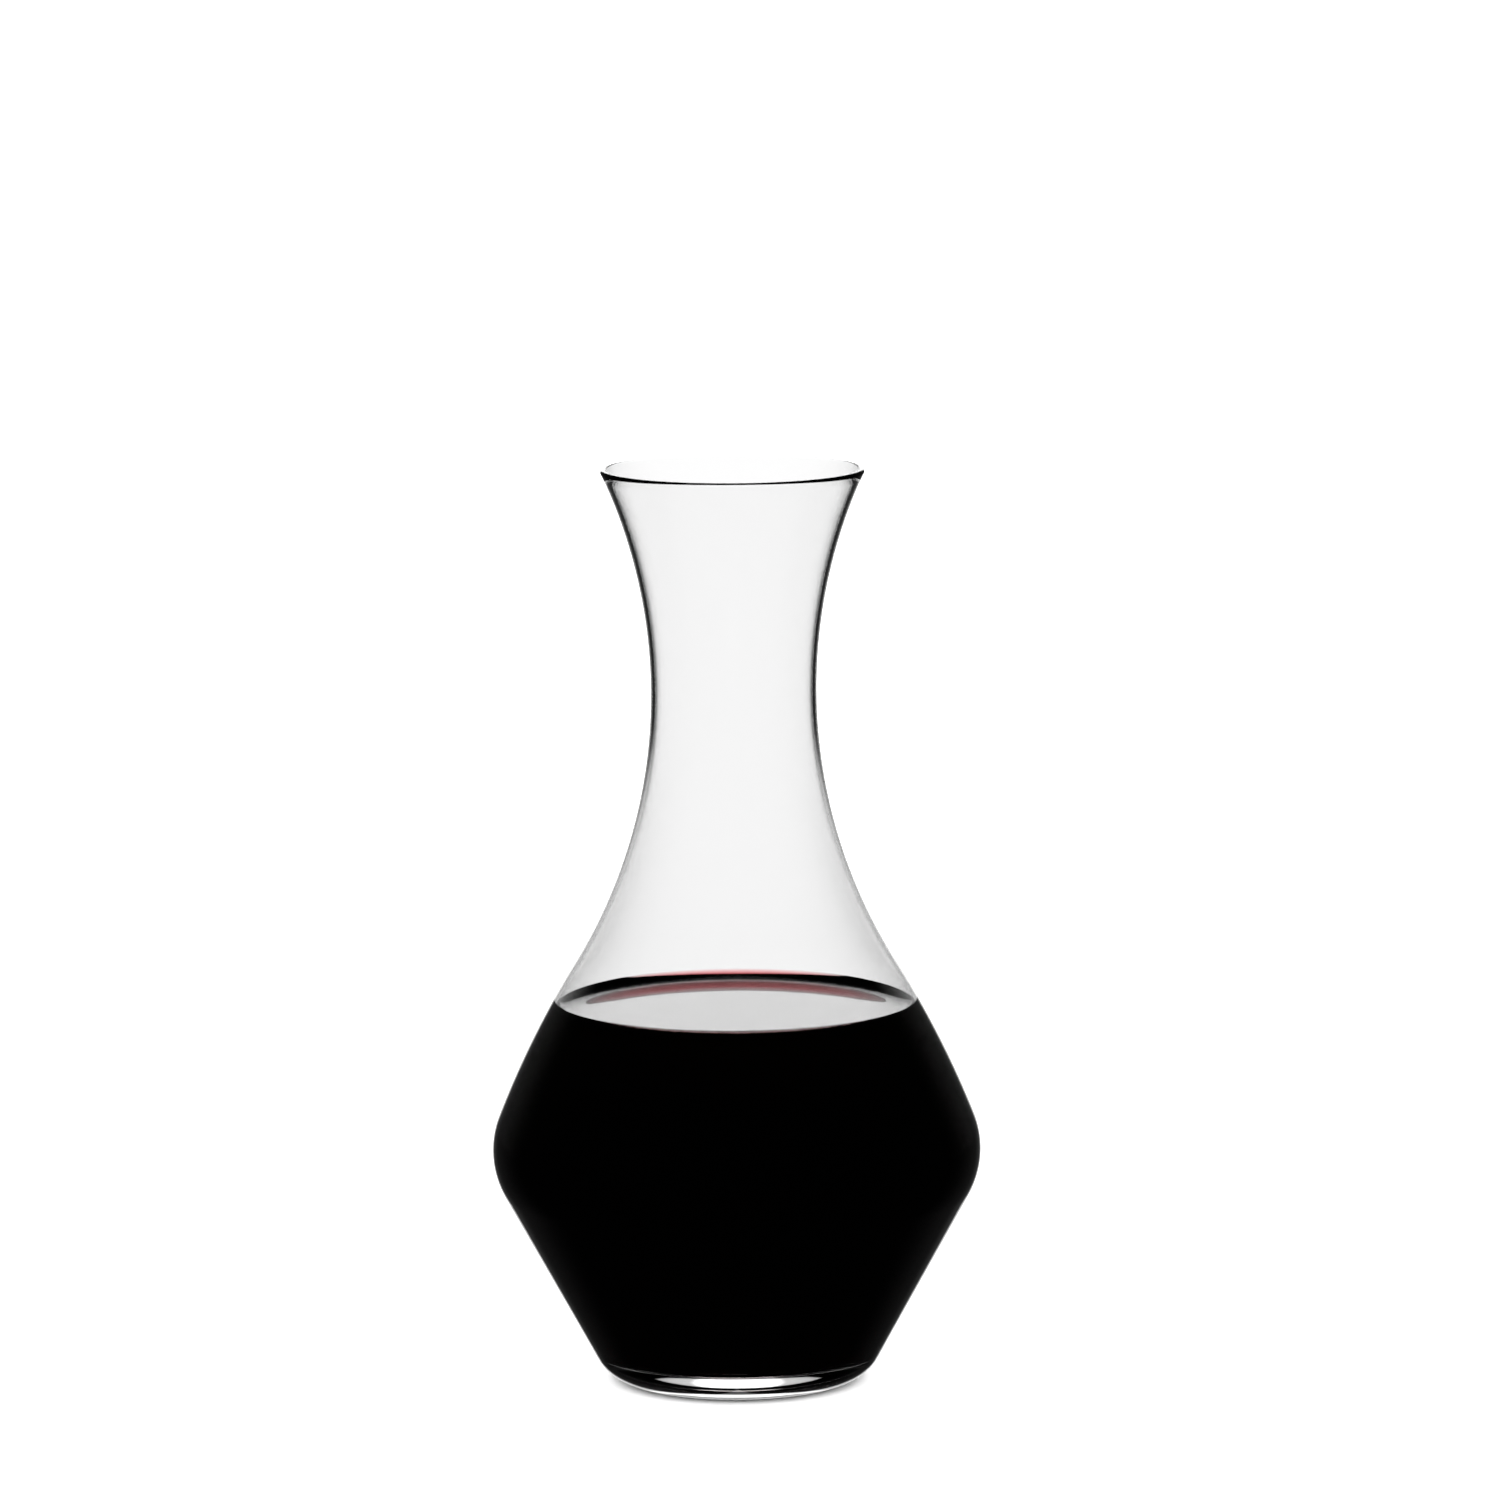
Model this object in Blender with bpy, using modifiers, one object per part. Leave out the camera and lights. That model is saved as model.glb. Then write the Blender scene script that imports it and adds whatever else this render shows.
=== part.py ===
"""Glass wine decanter standing on its foot, with one bottle of red wine in it.

Run with: blender --background --python part.py
Units are metres, +Z is up and the decanter's axis is the Z axis. The origin is the centre of the
standing ring, on the surface that the decanter stands on.

The outer wall is one chain of tangent arcs and a straight cone, walked from the lip down to the
ground. "Lean" is the angle between the wall and the vertical: positive where the decanter widens on
the way down, negative where it narrows, and -90 degrees where a wall has turned into a flat floor.
"""

from math import cos, pi, radians, sin, tan

import bpy

HEIGHT = 0.2331
WINE_LEVEL = 0.0946

# The outer wall. A curve is the radius of an arc of the outline, and a lean is where two stretches meet.
NECK_RADIUS = 0.0210
NECK_CURVE = 0.1317
SHOULDER_CURVE = 0.2428
BELLY_CURVE = 0.0231
HEEL_CURVE = 0.0115
LIP_LEAN = radians(-24.9)
NECK_LEAN = 0.0
SHOULDER_LEAN = radians(31.8)
BELLY_LEAN = radians(21.4)
CONE_LEAN = radians(-28.8)
FLOOR_LEAN = radians(-90)

# Thickness of the glass at the lip, from the neck down to the heel, and in the floor.
LIP_WALL = 0.0016
BODY_WALL = 0.0011
FLOOR_WALL = 0.0076

# Radius of the corner inside, where the cone meets the floor.
CORNER_CURVE = 0.0030

# Inside its standing ring the underside rises to a shallow dish, so that the decanter does not rock.
RING_WIDTH = 0.0045
HOLLOW_DEPTH = 0.0018
HOLLOW_SLOPE = 0.0120

# Clearance between the wine and the glass, because touching meshes can't share a face.
GAP = 0.0003

# Straight steps in each arc of the outline, over the lip, and in a full turn.
FLARE_STEPS = 5
THROAT_STEPS = 6
SHOULDER_STEPS = 3
BELLY_STEPS = 8
CORNER_STEPS = 6
LIP_STEPS = 6
TURN_STEPS = 48
MERGE_DISTANCE = 0.00005


def clear_scene():
    for old in list(bpy.data.objects):
        bpy.data.objects.remove(old, do_unlink=True)


def arc(start, lean_from, lean_to, curve, steps):
    """Points that carry a wall on along an arc, as (radius, height). A hollow arc has a negative curve."""
    points = []
    for step in range(1, steps + 1):
        lean = lean_from + (lean_to - lean_from) * step / steps
        radius = start[0] + curve * (cos(lean) - cos(lean_from))
        height = start[1] + curve * (sin(lean) - sin(lean_from))
        points.append((radius, height))
    return points


def upper_wall():
    """The outer wall from under the lip to the top of the cone, as (radius, height, lean, thickness)."""
    stretches = (
        (NECK_LEAN, -NECK_CURVE, FLARE_STEPS),
        (SHOULDER_LEAN, -NECK_CURVE, THROAT_STEPS),
        (BELLY_LEAN, SHOULDER_CURVE, SHOULDER_STEPS),
        (CONE_LEAN, BELLY_CURVE, BELLY_STEPS),
    )
    lip_radius = NECK_RADIUS + NECK_CURVE * (1 - cos(LIP_LEAN))
    lip_height = HEIGHT - LIP_WALL / 2 * (1 - sin(LIP_LEAN))
    wall = [(lip_radius, lip_height, LIP_LEAN, LIP_WALL)]
    for lean_to, curve, steps in stretches:
        start = wall[-1]
        lean_from, thick_from = start[2:]
        for step, (radius, height) in enumerate(arc(start, lean_from, lean_to, curve, steps), 1):
            lean = lean_from + (lean_to - lean_from) * step / steps
            thickness = BODY_WALL + (thick_from - BODY_WALL) * (1 - step / steps) ** 2
            wall.append((radius, height, lean, thickness))
    return wall


def lower_wall(cone_top, floor, corner_curve):
    """Down the straight cone from its top and round its corner to a flat floor, as (radius, height)."""
    cone_foot = floor + corner_curve * (1 + sin(CONE_LEAN))
    drop = cone_top[1] - cone_foot
    foot = (cone_top[0] + drop * tan(CONE_LEAN), cone_foot)
    return [foot] + arc(foot, CONE_LEAN, FLOOR_LEAN, corner_curve, CORNER_STEPS)


def outside():
    """The whole outer wall from under the lip to the ground."""
    upper = [(radius, height) for radius, height, lean, thickness in upper_wall()]
    return upper + lower_wall(upper[-1], 0.0, HEEL_CURVE)


def inside(clearance):
    """The inner wall from under the lip to the floor, moved in by a clearance."""
    upper = [
        (
            radius - (thickness + clearance) * cos(lean),
            height - (thickness + clearance) * sin(lean),
        )
        for radius, height, lean, thickness in upper_wall()
    ]
    return upper + lower_wall(upper[-1], FLOOR_WALL + clearance, CORNER_CURVE)


def lip():
    """The half round over the lip, from the inner wall to the outer wall, without its two ends."""
    radius, height, lean, thickness = upper_wall()[0]
    half = thickness / 2
    points = []
    for step in range(1, LIP_STEPS):
        angle = lean + pi - pi * step / LIP_STEPS
        points.append((
            radius - half * cos(lean) + half * cos(angle),
            height - half * sin(lean) + half * sin(angle),
        ))
    return points


def glass_profile():
    """Up the inside, over the lip, down the outside and in under the foot, from axis to axis."""
    inner = inside(0.0)
    outer = outside()
    hollow_radius = outer[-1][0] - RING_WIDTH
    under = [
        (hollow_radius, 0.0),
        (hollow_radius - HOLLOW_SLOPE, HOLLOW_DEPTH),
        (0.0, HOLLOW_DEPTH),
    ]
    return [(0.0, inner[-1][1])] + inner[::-1] + lip() + outer + under


def wine_profile():
    """Across the flat surface, down the inside of the glass and in over its floor."""
    wall = inside(GAP)
    below = [point for point in wall if point[1] < WINE_LEVEL]
    above = wall[len(wall) - len(below) - 1]
    part = (above[1] - WINE_LEVEL) / (above[1] - below[0][1])
    shore = above[0] + (below[0][0] - above[0]) * part
    return [(0.0, WINE_LEVEL), (shore, WINE_LEVEL)] + below + [(0.0, below[-1][1])]


def turned(name, profile, material, collection):
    """An object turned about the Z axis from a profile of (radius, height) points."""
    mesh = bpy.data.meshes.new(name)
    points = [(radius, 0.0, height) for radius, height in profile]
    edges = [(index, index + 1) for index in range(len(points) - 1)]
    mesh.from_pydata(points, edges, [])
    mesh.materials.append(material)
    turned_object = bpy.data.objects.new(name, mesh)
    collection.objects.link(turned_object)
    screw = turned_object.modifiers.new("Turn", "SCREW")
    screw.axis = "Z"
    screw.steps = TURN_STEPS
    screw.render_steps = TURN_STEPS
    screw.use_merge_vertices = True
    screw.merge_threshold = MERGE_DISTANCE
    screw.use_smooth_shade = True
    return turned_object


def see_through(name, colour, refraction):
    """A smooth clear material, such as glass or a liquid."""
    material = bpy.data.materials.new(name)
    material.use_nodes = True
    shader = material.node_tree.nodes["Principled BSDF"]
    shader.inputs["Base Color"].default_value = (*colour, 1.0)
    shader.inputs["Metallic"].default_value = 0.0
    shader.inputs["Roughness"].default_value = 0.02
    shader.inputs["IOR"].default_value = refraction
    shader.inputs["Transmission Weight"].default_value = 1.0
    return material


def main():
    clear_scene()
    collection = bpy.data.collections.new("wine_decanter")
    bpy.context.scene.collection.children.link(collection)
    clear_glass = see_through("clear_glass", (0.96, 0.97, 0.97), 1.5)
    red_wine = see_through("red_wine", (0.06, 0.004, 0.006), 1.34)
    turned("decanter_glass", glass_profile(), clear_glass, collection)
    turned("wine", wine_profile(), red_wine, collection)


main()
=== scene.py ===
"""A blown glass wine decanter with one bottle of red wine in it, in a plain bright studio.

Units are metres and +Z is up. The decanter turns about the Z axis and stands on the XY plane.

The glass wall is one chain of tangent arcs and a straight cone, walked from the lip down to the
ground. "Lean" is the angle between the wall and the vertical: positive where the decanter widens on
the way down, negative where it narrows, and -90 degrees where a wall has turned into a flat floor.
"""

from math import cos, pi, radians, sin, tan, tau

import bmesh
import bpy
from bpy.props import FloatProperty, FloatVectorProperty, IntProperty, PointerProperty
from mathutils import Matrix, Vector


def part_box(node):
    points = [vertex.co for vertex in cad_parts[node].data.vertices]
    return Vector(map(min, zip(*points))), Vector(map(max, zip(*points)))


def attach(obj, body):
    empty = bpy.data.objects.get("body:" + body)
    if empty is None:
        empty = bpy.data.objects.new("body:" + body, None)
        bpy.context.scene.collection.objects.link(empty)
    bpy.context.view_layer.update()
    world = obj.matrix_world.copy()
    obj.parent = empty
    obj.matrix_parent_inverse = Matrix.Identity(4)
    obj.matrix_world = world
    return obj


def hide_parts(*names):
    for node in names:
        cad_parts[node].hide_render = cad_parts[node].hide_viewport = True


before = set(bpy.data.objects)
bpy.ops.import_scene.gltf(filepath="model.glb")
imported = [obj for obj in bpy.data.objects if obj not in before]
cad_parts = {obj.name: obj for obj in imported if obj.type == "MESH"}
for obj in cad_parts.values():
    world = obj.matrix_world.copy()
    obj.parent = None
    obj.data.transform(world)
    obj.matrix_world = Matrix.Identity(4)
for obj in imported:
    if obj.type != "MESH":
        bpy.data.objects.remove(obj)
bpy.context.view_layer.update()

bl_info = {
    "name": "Wine Decanter",
    "version": (1, 0, 0),
    "blender": (4, 5, 0),
    "location": "View3D > Sidebar > Decanter",
    "description": "Blows a glass decanter, pours red wine into it and lights it",
    "category": "Add Mesh",
}

WINE_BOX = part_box("wine")

# The outer wall. A curve is the radius of an arc of the outline, and a lean is where two stretches
# meet.
HEIGHT = 0.2331
NECK_RADIUS = 0.0210
NECK_CURVE = 0.1317
SHOULDER_CURVE = 0.2428
BELLY_CURVE = 0.0231
HEEL_CURVE = 0.0115
CORNER_CURVE = 0.0030
LIP_LEAN = radians(-24.9)
NECK_LEAN = 0.0
SHOULDER_LEAN = radians(31.8)
BELLY_LEAN = radians(21.4)
CONE_LEAN = radians(-28.8)
FLOOR_LEAN = radians(-90)

# The underside stands on a narrow ring, and inside it rises to a shallow dish.
RING_WIDTH = 0.0045
HOLLOW_DEPTH = 0.0018
HOLLOW_SLOPE = 0.0120

# Steps in each stretch of the outline.
FLARE_STEPS = 24
THROAT_STEPS = 30
SHOULDER_STEPS = 20
BELLY_STEPS = 26
CONE_STEPS = 24
CORNER_STEPS = 22
LIP_STEPS = 16
SLOPE_STEPS = 20
FLAT_STEPS = 4
MERGE_DISTANCE = 0.000002
SHARP_ANGLE = radians(32)

# The wine reaches a little way into the wall of the glass, so that no film of air is left between
# them. Over the floor, and the last steps of the corner round it, it stays clear of the glass, which
# then turns back light that comes in at the foot.
SOAK = 0.00005
FILM = 0.0001
RESTING_STEPS = 6

# The wine's curved edge is worked out in steps, from the glass in to where it is as good as flat.
EDGE_STEPS = 28
FLATTEST = radians(0.6)

# An angle in radians times this is in degrees.
DEGREES = 180 / pi

# Brightness, where the wall that the camera sees is 1: of the low part of the panel, of what shows
# above it, of the wall round the rest of the studio, of the dark strips, and of the light that falls
# on the floor.
PANEL_LIGHT = 1.08
ABOVE_LIGHT = 1.3
WALL_LIGHT = 1.15
STRIP_LIGHT = 0.006
ON_FLOOR_LIGHT = 3.4

FLOOR_SEGMENTS = 96
SENSOR_WIDTH = 36.0
FARTHEST_SEEN = 200.0


class Wire:
    """An output of a shader node. Arithmetic on it adds Math nodes to its tree."""

    def __init__(self, tree, made=None, output=0):
        self.tree = tree
        self.made = made
        self.output = output

    def node(self, kind, settings=None, sockets=None, output=0):
        """Any other node: its type, settings, values or wires of its sockets, and its output."""
        made = self.tree.nodes.new(kind)
        for name, value in (settings or {}).items():
            setattr(made, name, value)
        for name, value in (sockets or {}).items():
            if isinstance(value, Wire):
                self.tree.links.new(value.made.outputs[value.output], made.inputs[name])
            else:
                made.inputs[name].default_value = value
        return Wire(self.tree, made, output)

    def __getitem__(self, output):
        return Wire(self.tree, self.made, output)

    def math(self, operation, first, second=0.0):
        return self.node("ShaderNodeMath", {"operation": operation}, {0: first, 1: second})

    def most(self, first, second):
        return self.math("MAXIMUM", first, second)

    def least(self, first, second):
        return self.math("MINIMUM", first, second)

    def __add__(self, other):
        return self.math("ADD", self, other)

    def __radd__(self, other):
        return self.math("ADD", other, self)

    def __sub__(self, other):
        return self.math("SUBTRACT", self, other)

    def __rsub__(self, other):
        return self.math("SUBTRACT", other, self)

    def __mul__(self, other):
        return self.math("MULTIPLY", self, other)

    def __rmul__(self, other):
        return self.math("MULTIPLY", other, self)

    def __abs__(self):
        return self.math("ABSOLUTE", self)

    def rise(self, low, high):
        """0 below low and 1 above high, with a smooth step between them."""
        limits = {"Value": self, "From Min": low, "From Max": high}
        return self.node("ShaderNodeMapRange", {"interpolation_type": "SMOOTHSTEP"}, limits)


def new_tree(holder):
    """An empty node tree on a material or a world, as a wire with no node yet."""
    holder.use_nodes = True
    holder.node_tree.nodes.clear()
    return Wire(holder.node_tree)


# Outline


def arc(start, lean_from, lean_to, curve, steps):
    """Points that carry a wall on along an arc, as (radius, height). A hollow curve is negative."""
    points = []
    for step in range(1, steps + 1):
        lean = lean_from + (lean_to - lean_from) * step / steps
        radius = start[0] + curve * (cos(lean) - cos(lean_from))
        height = start[1] + curve * (sin(lean) - sin(lean_from))
        points.append((radius, height))
    return points


def line(start, end, steps):
    """Points along a straight stretch, without its start."""
    return [
        (
            start[0] + (end[0] - start[0]) * step / steps,
            start[1] + (end[1] - start[1]) * step / steps,
        )
        for step in range(1, steps + 1)
    ]


def upper_wall(glass):
    """The outer wall from lip to top of the cone, as (radius, height, lean, thickness)."""
    stretches = (
        (NECK_LEAN, -NECK_CURVE, FLARE_STEPS),
        (SHOULDER_LEAN, -NECK_CURVE, THROAT_STEPS),
        (BELLY_LEAN, SHOULDER_CURVE, SHOULDER_STEPS),
        (CONE_LEAN, BELLY_CURVE, BELLY_STEPS),
    )
    lip_radius = NECK_RADIUS + NECK_CURVE * (1 - cos(LIP_LEAN))
    lip_height = HEIGHT - glass.lip_wall / 2 * (1 - sin(LIP_LEAN))
    wall = [(lip_radius, lip_height, LIP_LEAN, glass.lip_wall)]
    for lean_to, curve, steps in stretches:
        start = wall[-1]
        lean_from, thick_from = start[2:]
        for step, (radius, height) in enumerate(arc(start, lean_from, lean_to, curve, steps), 1):
            lean = lean_from + (lean_to - lean_from) * step / steps
            thickness = glass.body_wall + (thick_from - glass.body_wall) * (1 - step / steps) ** 2
            wall.append((radius, height, lean, thickness))
    return wall


def lower_wall(cone_top, floor, corner_curve):
    """Down the straight cone and round its corner to a flat floor, as (radius, height)."""
    cone_foot = floor + corner_curve * (1 + sin(CONE_LEAN))
    drop = cone_top[1] - cone_foot
    foot = (cone_top[0] + drop * tan(CONE_LEAN), cone_foot)
    corner = arc(foot, CONE_LEAN, FLOOR_LEAN, corner_curve, CORNER_STEPS)
    return line(cone_top, foot, CONE_STEPS) + corner


def outside(glass):
    """The whole outer wall from under the lip to the ground."""
    upper = [(radius, height) for radius, height, lean, thickness in upper_wall(glass)]
    return upper + lower_wall(upper[-1], 0.0, HEEL_CURVE)


def inside(glass, shift):
    """The inner wall from under the lip to the floor, moved into the glass by shift."""
    upper = [
        (
            radius - (thickness - shift) * cos(lean),
            height - (thickness - shift) * sin(lean),
        )
        for radius, height, lean, thickness in upper_wall(glass)
    ]
    return upper + lower_wall(upper[-1], glass.floor_wall - shift, CORNER_CURVE)


def lip(glass):
    """The fire-polished half round over the lip, from the inner wall out, without its ends."""
    radius, height, lean, thickness = upper_wall(glass)[0]
    half = thickness / 2
    points = []
    for step in range(1, LIP_STEPS):
        angle = lean + pi - pi * step / LIP_STEPS
        points.append((
            radius - half * cos(lean) + half * cos(angle),
            height - half * sin(lean) + half * sin(angle),
        ))
    return points


def underside(ring_outer):
    """In from the standing ring, up its soft slope and across the shallow hollow to the axis."""
    ring_inner = ring_outer - RING_WIDTH
    points = line((ring_outer, 0.0), (ring_inner, 0.0), FLAT_STEPS)
    for step in range(1, SLOPE_STEPS + 1):
        part = step / SLOPE_STEPS
        points.append((
            ring_inner - HOLLOW_SLOPE * part,
            HOLLOW_DEPTH * part * part * (3 - 2 * part),
        ))
    return points + line(points[-1], (0.0, HOLLOW_DEPTH), FLAT_STEPS)


def glass_profile(glass):
    """Out over the floor, up the inside, over the lip, down the outside and in under the foot."""
    inner = inside(glass, 0.0)
    outer = outside(glass)
    floor = line((0.0, inner[-1][1]), inner[-1], FLAT_STEPS)
    below = underside(outer[-1][0])
    return [(0.0, inner[-1][1])] + floor + inner[-2::-1] + lip(glass) + outer + below


def wall_at(wall, height):
    """Where a wall walked downwards passes a height: its radius, and the next point's index."""
    for index, (above, below) in enumerate(zip(wall, wall[1:])):
        if below[1] <= height < above[1]:
            part = (above[1] - height) / (above[1] - below[1])
            return above[0] + (below[0] - above[0]) * part, index + 1
    raise ValueError(f"the wall doesn't pass the height {height}")


def climb(wine, steepest):
    """The wine's edge as it climbs the wall, from the wall inwards, as (way in, rise)."""
    points = []
    inward = 0.0
    last = steepest
    for step in range(EDGE_STEPS + 1):
        slope = steepest * (FLATTEST / steepest) ** (step / EDGE_STEPS)
        middle = (slope + last) / 2
        inward += wine.capillary_length * cos(middle) / (2 * sin(middle / 2)) * (last - slope)
        points.append((inward, 2 * wine.capillary_length * sin(slope / 2)))
        last = slope
    return points


def wine_profile(glass, wine):
    """Out over the wine's top, up its curved edge, down inside the glass and in over the floor."""
    wall = inside(glass, 0.0)
    edge = climb(wine, wine.edge_slope)
    shore, _ = wall_at(wall, wine.level + edge[0][1])
    surface = [(shore - inward, wine.level + rise) for inward, rise in edge][::-1]
    soaked = inside(glass, SOAK)
    _, first = wall_at(soaked, surface[-1][1])
    top = line((0.0, wine.level), surface[0], FLAT_STEPS)[:-1]
    side_start = (shore + SOAK, surface[-1][1])
    side = soaked[first:-RESTING_STEPS] + inside(glass, -FILM)[-RESTING_STEPS:]
    floor = line(side[-1], (0.0, side[-1][1]), FLAT_STEPS)
    return [(0.0, wine.level)] + top + surface + [side_start] + side + floor


# Meshes


def turned(name, profile, material, steps):
    """A closed body turned about the Z axis from a profile that starts and ends on the axis."""
    bm = bmesh.new()
    points = [bm.verts.new((radius, 0.0, height)) for radius, height in profile]
    edges = [bm.edges.new(pair) for pair in zip(points, points[1:])]
    bmesh.ops.spin(
        bm,
        geom=points + edges,
        cent=(0.0, 0.0, 0.0),
        axis=(0.0, 0.0, 1.0),
        angle=tau,
        steps=steps,
        use_merge=True,
    )
    bmesh.ops.remove_doubles(bm, verts=bm.verts, dist=MERGE_DISTANCE)
    bmesh.ops.recalc_face_normals(bm, faces=bm.faces)
    for face in bm.faces:
        face.smooth = True
    for edge in bm.edges:
        edge.smooth = edge.calc_face_angle(0.0) < SHARP_ANGLE
    mesh = bpy.data.meshes.new(name)
    bm.to_mesh(mesh)
    bm.free()
    mesh.materials.append(material)
    body = bpy.data.objects.new(name, mesh)
    bpy.context.scene.collection.objects.link(body)
    return body


# Materials


def clear_glass(glass):
    """Clear blown glass: a little uneven from the mould, with a faint breath of dust."""
    material = bpy.data.materials.new("clear_glass")
    start = new_tree(material)
    place = start.node("ShaderNodeTexCoord", output="Object")
    waves = start.node(
        "ShaderNodeTexNoise",
        {"noise_dimensions": "3D"},
        {"Vector": place, "Scale": 22.0, "Detail": 1.0, "Roughness": 0.4},
    )
    bump = start.node(
        "ShaderNodeBump", None, {"Height": waves, "Strength": 0.01, "Distance": 0.0004}
    )
    smudges = start.node(
        "ShaderNodeTexNoise",
        {"noise_dimensions": "3D"},
        {"Vector": place, "Scale": 60.0, "Detail": 3.0, "Roughness": 0.6},
    )
    surface = start.node(
        "ShaderNodeBsdfPrincipled",
        None,
        {
            "Base Color": (*glass.tint, 1.0),
            "Roughness": 0.004 + 0.012 * smudges.rise(0.45, 0.85),
            "IOR": glass.refraction,
            "Transmission Weight": 1.0,
            "Normal": bump,
        },
    )
    start.node("ShaderNodeOutputMaterial", None, {"Surface": surface})
    return material


def red_wine(wine):
    """Red wine: clear at its surface, and it takes up light with depth, blue and green first."""
    material = bpy.data.materials.new("red_wine")
    start = new_tree(material)
    place = start.node("ShaderNodeTexCoord", output="Object")
    ripples = start.node(
        "ShaderNodeTexNoise",
        {"noise_dimensions": "3D"},
        {"Vector": place, "Scale": 30.0, "Detail": 1.0, "Roughness": 0.4},
    )
    bump = start.node(
        "ShaderNodeBump", None, {"Height": ripples, "Strength": 0.01, "Distance": 0.0002}
    )
    surface = start.node(
        "ShaderNodeBsdfPrincipled",
        None,
        {
            "Base Color": (1.0, 1.0, 1.0, 1.0),
            "Roughness": 0.0,
            "Specular Tint": (0.15, 0.15, 0.15, 1.0),
            "IOR": wine.refraction,
            "Transmission Weight": 1.0,
            "Normal": bump,
        },
    )
    depth = start.node(
        "ShaderNodeVolumeAbsorption",
        None,
        {"Color": (*wine.colour, 1.0), "Density": wine.density},
    )
    start.node("ShaderNodeOutputMaterial", None, {"Surface": surface, "Volume": depth})
    return material


def pale_floor(studio):
    """A plain matt floor, near white."""
    material = bpy.data.materials.new("pale_floor")
    start = new_tree(material)
    place = start.node("ShaderNodeTexCoord", output="Object")
    grain = start.node(
        "ShaderNodeTexNoise",
        {"noise_dimensions": "3D"},
        {"Vector": place, "Scale": 9.0, "Detail": 2.0},
    )
    surface = start.node(
        "ShaderNodeBsdfPrincipled",
        None,
        {
            "Base Color": (*studio.floor_colour, 1.0),
            "Roughness": 0.8 + 0.1 * grain,
            "Specular IOR Level": 0.0,
        },
    )
    start.node("ShaderNodeOutputMaterial", None, {"Surface": surface})
    return material


# Settings


class DecanterGlassSettings(bpy.types.PropertyGroup):
    lip_wall: FloatProperty(
        name="Lip", description="Thickness of the glass at the lip", default=0.0016, unit="LENGTH"
    )
    body_wall: FloatProperty(
        name="Wall",
        description="Thickness of the glass from the neck down",
        default=0.0011,
        unit="LENGTH",
    )
    floor_wall: FloatProperty(
        name="Floor",
        description="Thickness of the glass in the floor",
        default=0.0076,
        unit="LENGTH",
    )
    refraction: FloatProperty(
        name="Refraction", description="Refractive index of the glass", default=1.5
    )
    tint: FloatVectorProperty(
        name="Tint", description="Colour of the glass", default=(1.0, 1.0, 1.0), subtype="COLOR"
    )
    turn_steps: IntProperty(name="Steps", description="Faces round the glass", default=240)


class DecanterWineSettings(bpy.types.PropertyGroup):
    level: FloatProperty(
        name="Level",
        description="Height of the wine's flat top",
        default=WINE_BOX[1].z,
        unit="LENGTH",
    )
    capillary_length: FloatProperty(
        name="Capillary length",
        description="Sets how far the wine's edge climbs the glass",
        default=0.0022,
        unit="LENGTH",
    )
    edge_slope: FloatProperty(
        name="Edge slope",
        description="Slope of the wine's edge where it meets the glass",
        default=radians(84.0),
        subtype="ANGLE",
    )
    refraction: FloatProperty(
        name="Refraction", description="Refractive index of the wine", default=1.34
    )
    colour: FloatVectorProperty(
        name="Colour",
        description="Colour that the wine lets through",
        default=(0.86, 0.06, 0.10),
        subtype="COLOR",
    )
    density: FloatProperty(
        name="Depth of colour", description="How fast the wine takes up light", default=1000.0
    )
    turn_steps: IntProperty(name="Steps", description="Faces round the wine", default=240)


class DecanterStudioSettings(bpy.types.PropertyGroup):
    floor_radius: FloatProperty(
        name="Floor", description="Radius of the floor", default=30.0, unit="LENGTH"
    )
    floor_colour: FloatVectorProperty(
        name="Floor colour",
        description="Colour of the floor",
        default=(0.93, 0.93, 0.93),
        subtype="COLOR",
    )
    camera_distance: FloatProperty(
        name="Camera distance",
        description="Level distance of the camera from the axis",
        default=2.2233,
        unit="LENGTH",
    )
    camera_height: FloatProperty(
        name="Camera height",
        description="Height of the camera over the floor",
        default=0.4896,
        unit="LENGTH",
    )
    camera_side: FloatProperty(
        name="Camera offset",
        description="How far right of the axis the camera stands",
        default=0.0040,
        unit="LENGTH",
    )
    camera_pitch: FloatProperty(
        name="Camera pitch",
        description="How far down the camera looks",
        default=radians(8.395),
        subtype="ANGLE",
    )
    camera_roll: FloatProperty(
        name="Camera roll",
        description="Turn of the camera about its own axis",
        default=radians(-0.368),
        subtype="ANGLE",
    )
    focal_length: FloatProperty(
        name="Focal length",
        description="Focal length on a 36 mm sensor, in millimetres",
        default=213.7,
    )


class DecanterSettings(bpy.types.PropertyGroup):
    glass: PointerProperty(type=DecanterGlassSettings)
    wine: PointerProperty(type=DecanterWineSettings)
    studio: PointerProperty(type=DecanterStudioSettings)


# Stage


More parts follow.
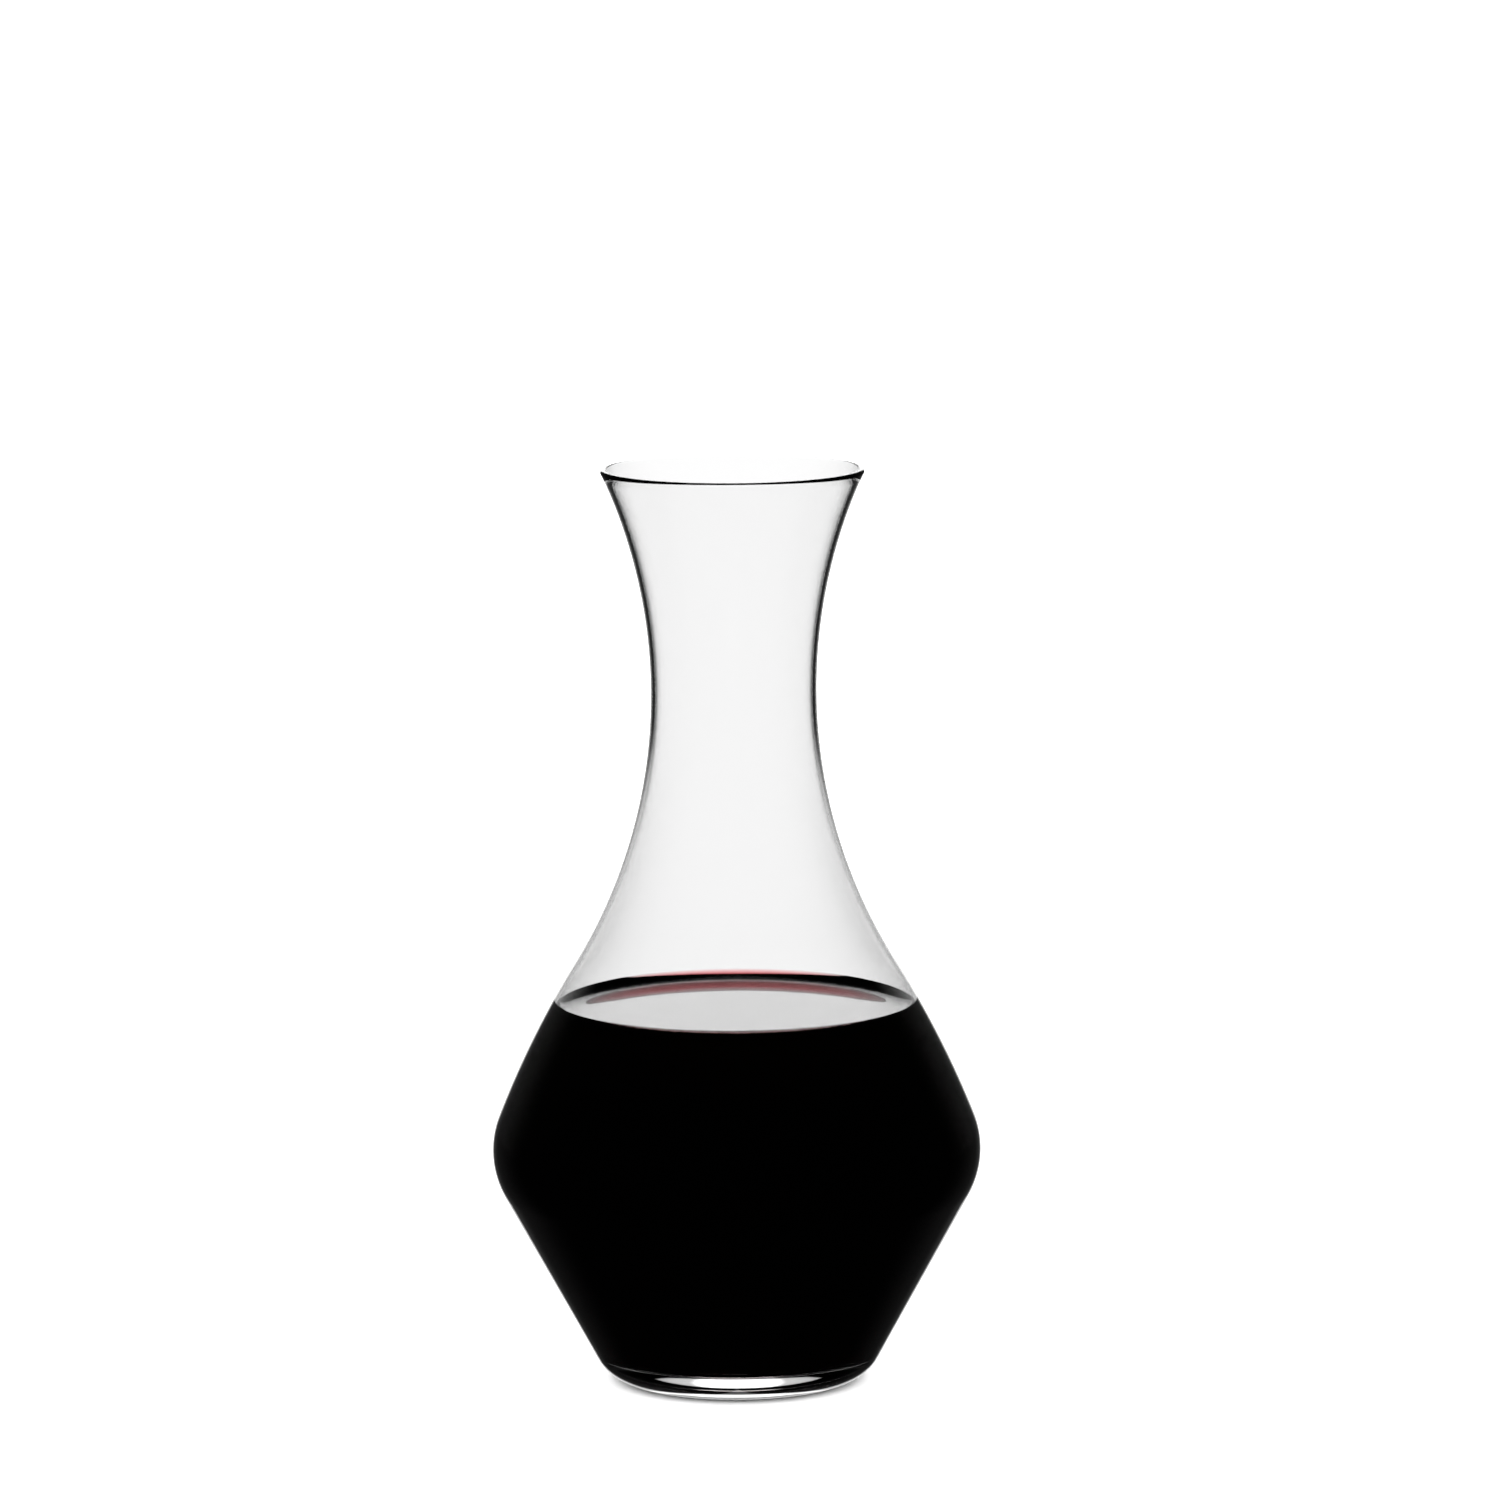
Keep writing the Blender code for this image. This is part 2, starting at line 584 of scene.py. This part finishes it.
def studio_light(world):
    """A bright white wall all round, with a dark strip each side of the panel behind the decanter.

    What is mirrored, what shows straight through the glass and what lights the floor differ in
    strength. turn is how far a direction is from the panel's middle, and tilt how far it is above
    level.
    """
    start = new_tree(world)
    ray = start.node("ShaderNodeLightPath")
    towards = start.node("ShaderNodeTexCoord", output="Generated")
    way = start.node("ShaderNodeSeparateXYZ", None, {0: towards})
    turn = abs(start.math("ARCTAN2", way["X"], way["Y"])) * DEGREES
    tilt = start.math("ARCSINE", way["Z"]) * DEGREES

    height = (PANEL_LIGHT + 1.27 * tilt.rise(-7.0, 10.0)) * (1.0 - 0.8 * tilt.rise(22.0, 45.0))
    panel = (1.0 - turn.rise(10.5, 15.5)) * height
    fading = 0.075 - 0.055 * turn.rise(13.0, 28.0) - 0.018 * turn.rise(26.0, 60.0)
    reflected = start.most(panel, fading)

    bounces = ray["Glossy Depth"]
    bounced = start.least(bounces, 1.0)
    beside = turn.rise(2.0, 9.0) * (0.12 + 0.42 * tilt.rise(-10.0, -3.0))
    window = (1.0 - turn.rise(11.0, 17.0)) * (PANEL_LIGHT + beside)
    above = tilt.rise(-7.5, -2.5) * (1.0 - turn.rise(22.0, 60.0)) * ABOVE_LIGHT
    around = start.most(turn.rise(33.0, 41.0), 1.0 - tilt.rise(-17.0, -14.0)) * WALL_LIGHT
    beyond = start.most(around * (1.0 - bounced), STRIP_LIGHT)
    through = start.most(start.most(window, above), beyond)

    # Light turned back inside one wall of the glass carries on to what shows through it.
    one_wall = 1.0 - start.least(abs(ray["Transmission Depth"] - 2.0), 1.0)
    floor = bounces.rise(1.5, 3.0)
    edge = 0.5 * tilt.rise(-8.0, -4.0)
    mirrored = bounced * (1.0 - one_wall * start.most(floor, edge))
    light = (
        ray["Is Camera Ray"]
        + ray["Is Diffuse Ray"] * ON_FLOOR_LIGHT
        + ray["Is Glossy Ray"] * (through + (reflected - through) * mirrored)
    )
    glow = start.node("ShaderNodeBackground", None, {"Color": (1, 1, 1, 1), "Strength": light})
    start.node("ShaderNodeOutputWorld", None, {"Surface": glow})


def lay_floor(studio):
    bm = bmesh.new()
    bmesh.ops.create_circle(bm, cap_ends=True, segments=FLOOR_SEGMENTS, radius=studio.floor_radius)
    mesh = bpy.data.meshes.new("studio_floor")
    bm.to_mesh(mesh)
    bm.free()
    mesh.materials.append(pale_floor(studio))
    floor = bpy.data.objects.new("studio_floor", mesh)
    floor.visible_glossy = False
    floor.visible_transmission = False
    bpy.context.scene.collection.objects.link(floor)


def place_camera(studio):
    data = bpy.data.cameras.new("studio_camera")
    data.sensor_width = SENSOR_WIDTH
    data.lens = studio.focal_length
    data.clip_end = FARTHEST_SEEN
    camera = bpy.data.objects.new("studio_camera", data)
    camera.matrix_world = (
        Matrix.Translation((studio.camera_side, -studio.camera_distance, studio.camera_height))
        @ Matrix.Rotation(pi / 2 - studio.camera_pitch, 4, "X")
        @ Matrix.Rotation(studio.camera_roll, 4, "Z")
    )
    bpy.context.scene.collection.objects.link(camera)
    bpy.context.scene.camera = camera


# Operators


class DECANTER_OT_blow_glass(bpy.types.Operator):
    """Make the glass body of the decanter"""

    bl_idname = "decanter.blow_glass"
    bl_label = "Blow Glass"

    def execute(self, context):
        glass = context.scene.decanter.glass
        body = turned("decanter_body", glass_profile(glass), clear_glass(glass), glass.turn_steps)
        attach(body, "root")
        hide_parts("decanter_glass")
        return {"FINISHED"}


class DECANTER_OT_pour_wine(bpy.types.Operator):
    """Fill the decanter with one bottle of red wine"""

    bl_idname = "decanter.pour_wine"
    bl_label = "Pour Wine"

    def execute(self, context):
        settings = context.scene.decanter
        profile = wine_profile(settings.glass, settings.wine)
        body = turned("wine_fill", profile, red_wine(settings.wine), settings.wine.turn_steps)
        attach(body, "root")
        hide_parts("wine")
        return {"FINISHED"}


class DECANTER_OT_set_stage(bpy.types.Operator):
    """Lay the floor, light the studio and place the camera"""

    bl_idname = "decanter.set_stage"
    bl_label = "Set Stage"

    def execute(self, context):
        studio = context.scene.decanter.studio
        scene = context.scene
        scene.view_settings.view_transform = "Standard"
        scene.world = bpy.data.worlds.new("studio_world")
        studio_light(scene.world)
        lay_floor(studio)
        place_camera(studio)
        return {"FINISHED"}


class DECANTER_PT_panel(bpy.types.Panel):
    """The decanter's settings and what makes each piece"""

    bl_idname = "DECANTER_PT_panel"
    bl_label = "Wine Decanter"
    bl_space_type = "VIEW_3D"
    bl_region_type = "UI"
    bl_category = "Decanter"

    def draw(self, context):
        settings = context.scene.decanter
        for operator, group in STEPS:
            box = self.layout.box()
            box.operator(operator)
            held = getattr(settings, group)
            for name in held.__annotations__:
                box.prop(held, name)


STEPS = (
    ("decanter.set_stage", "studio"),
    ("decanter.blow_glass", "glass"),
    ("decanter.pour_wine", "wine"),
)

CLASSES = (
    DecanterGlassSettings,
    DecanterWineSettings,
    DecanterStudioSettings,
    DecanterSettings,
    DECANTER_OT_blow_glass,
    DECANTER_OT_pour_wine,
    DECANTER_OT_set_stage,
    DECANTER_PT_panel,
)


def register():
    for item in CLASSES:
        bpy.utils.register_class(item)
    bpy.types.Scene.decanter = PointerProperty(type=DecanterSettings)


def unregister():
    del bpy.types.Scene.decanter
    for item in reversed(CLASSES):
        bpy.utils.unregister_class(item)


def main():
    register()
    bpy.ops.decanter.set_stage()
    bpy.ops.decanter.blow_glass()
    bpy.ops.decanter.pour_wine()


if __name__ == "__main__":
    main()
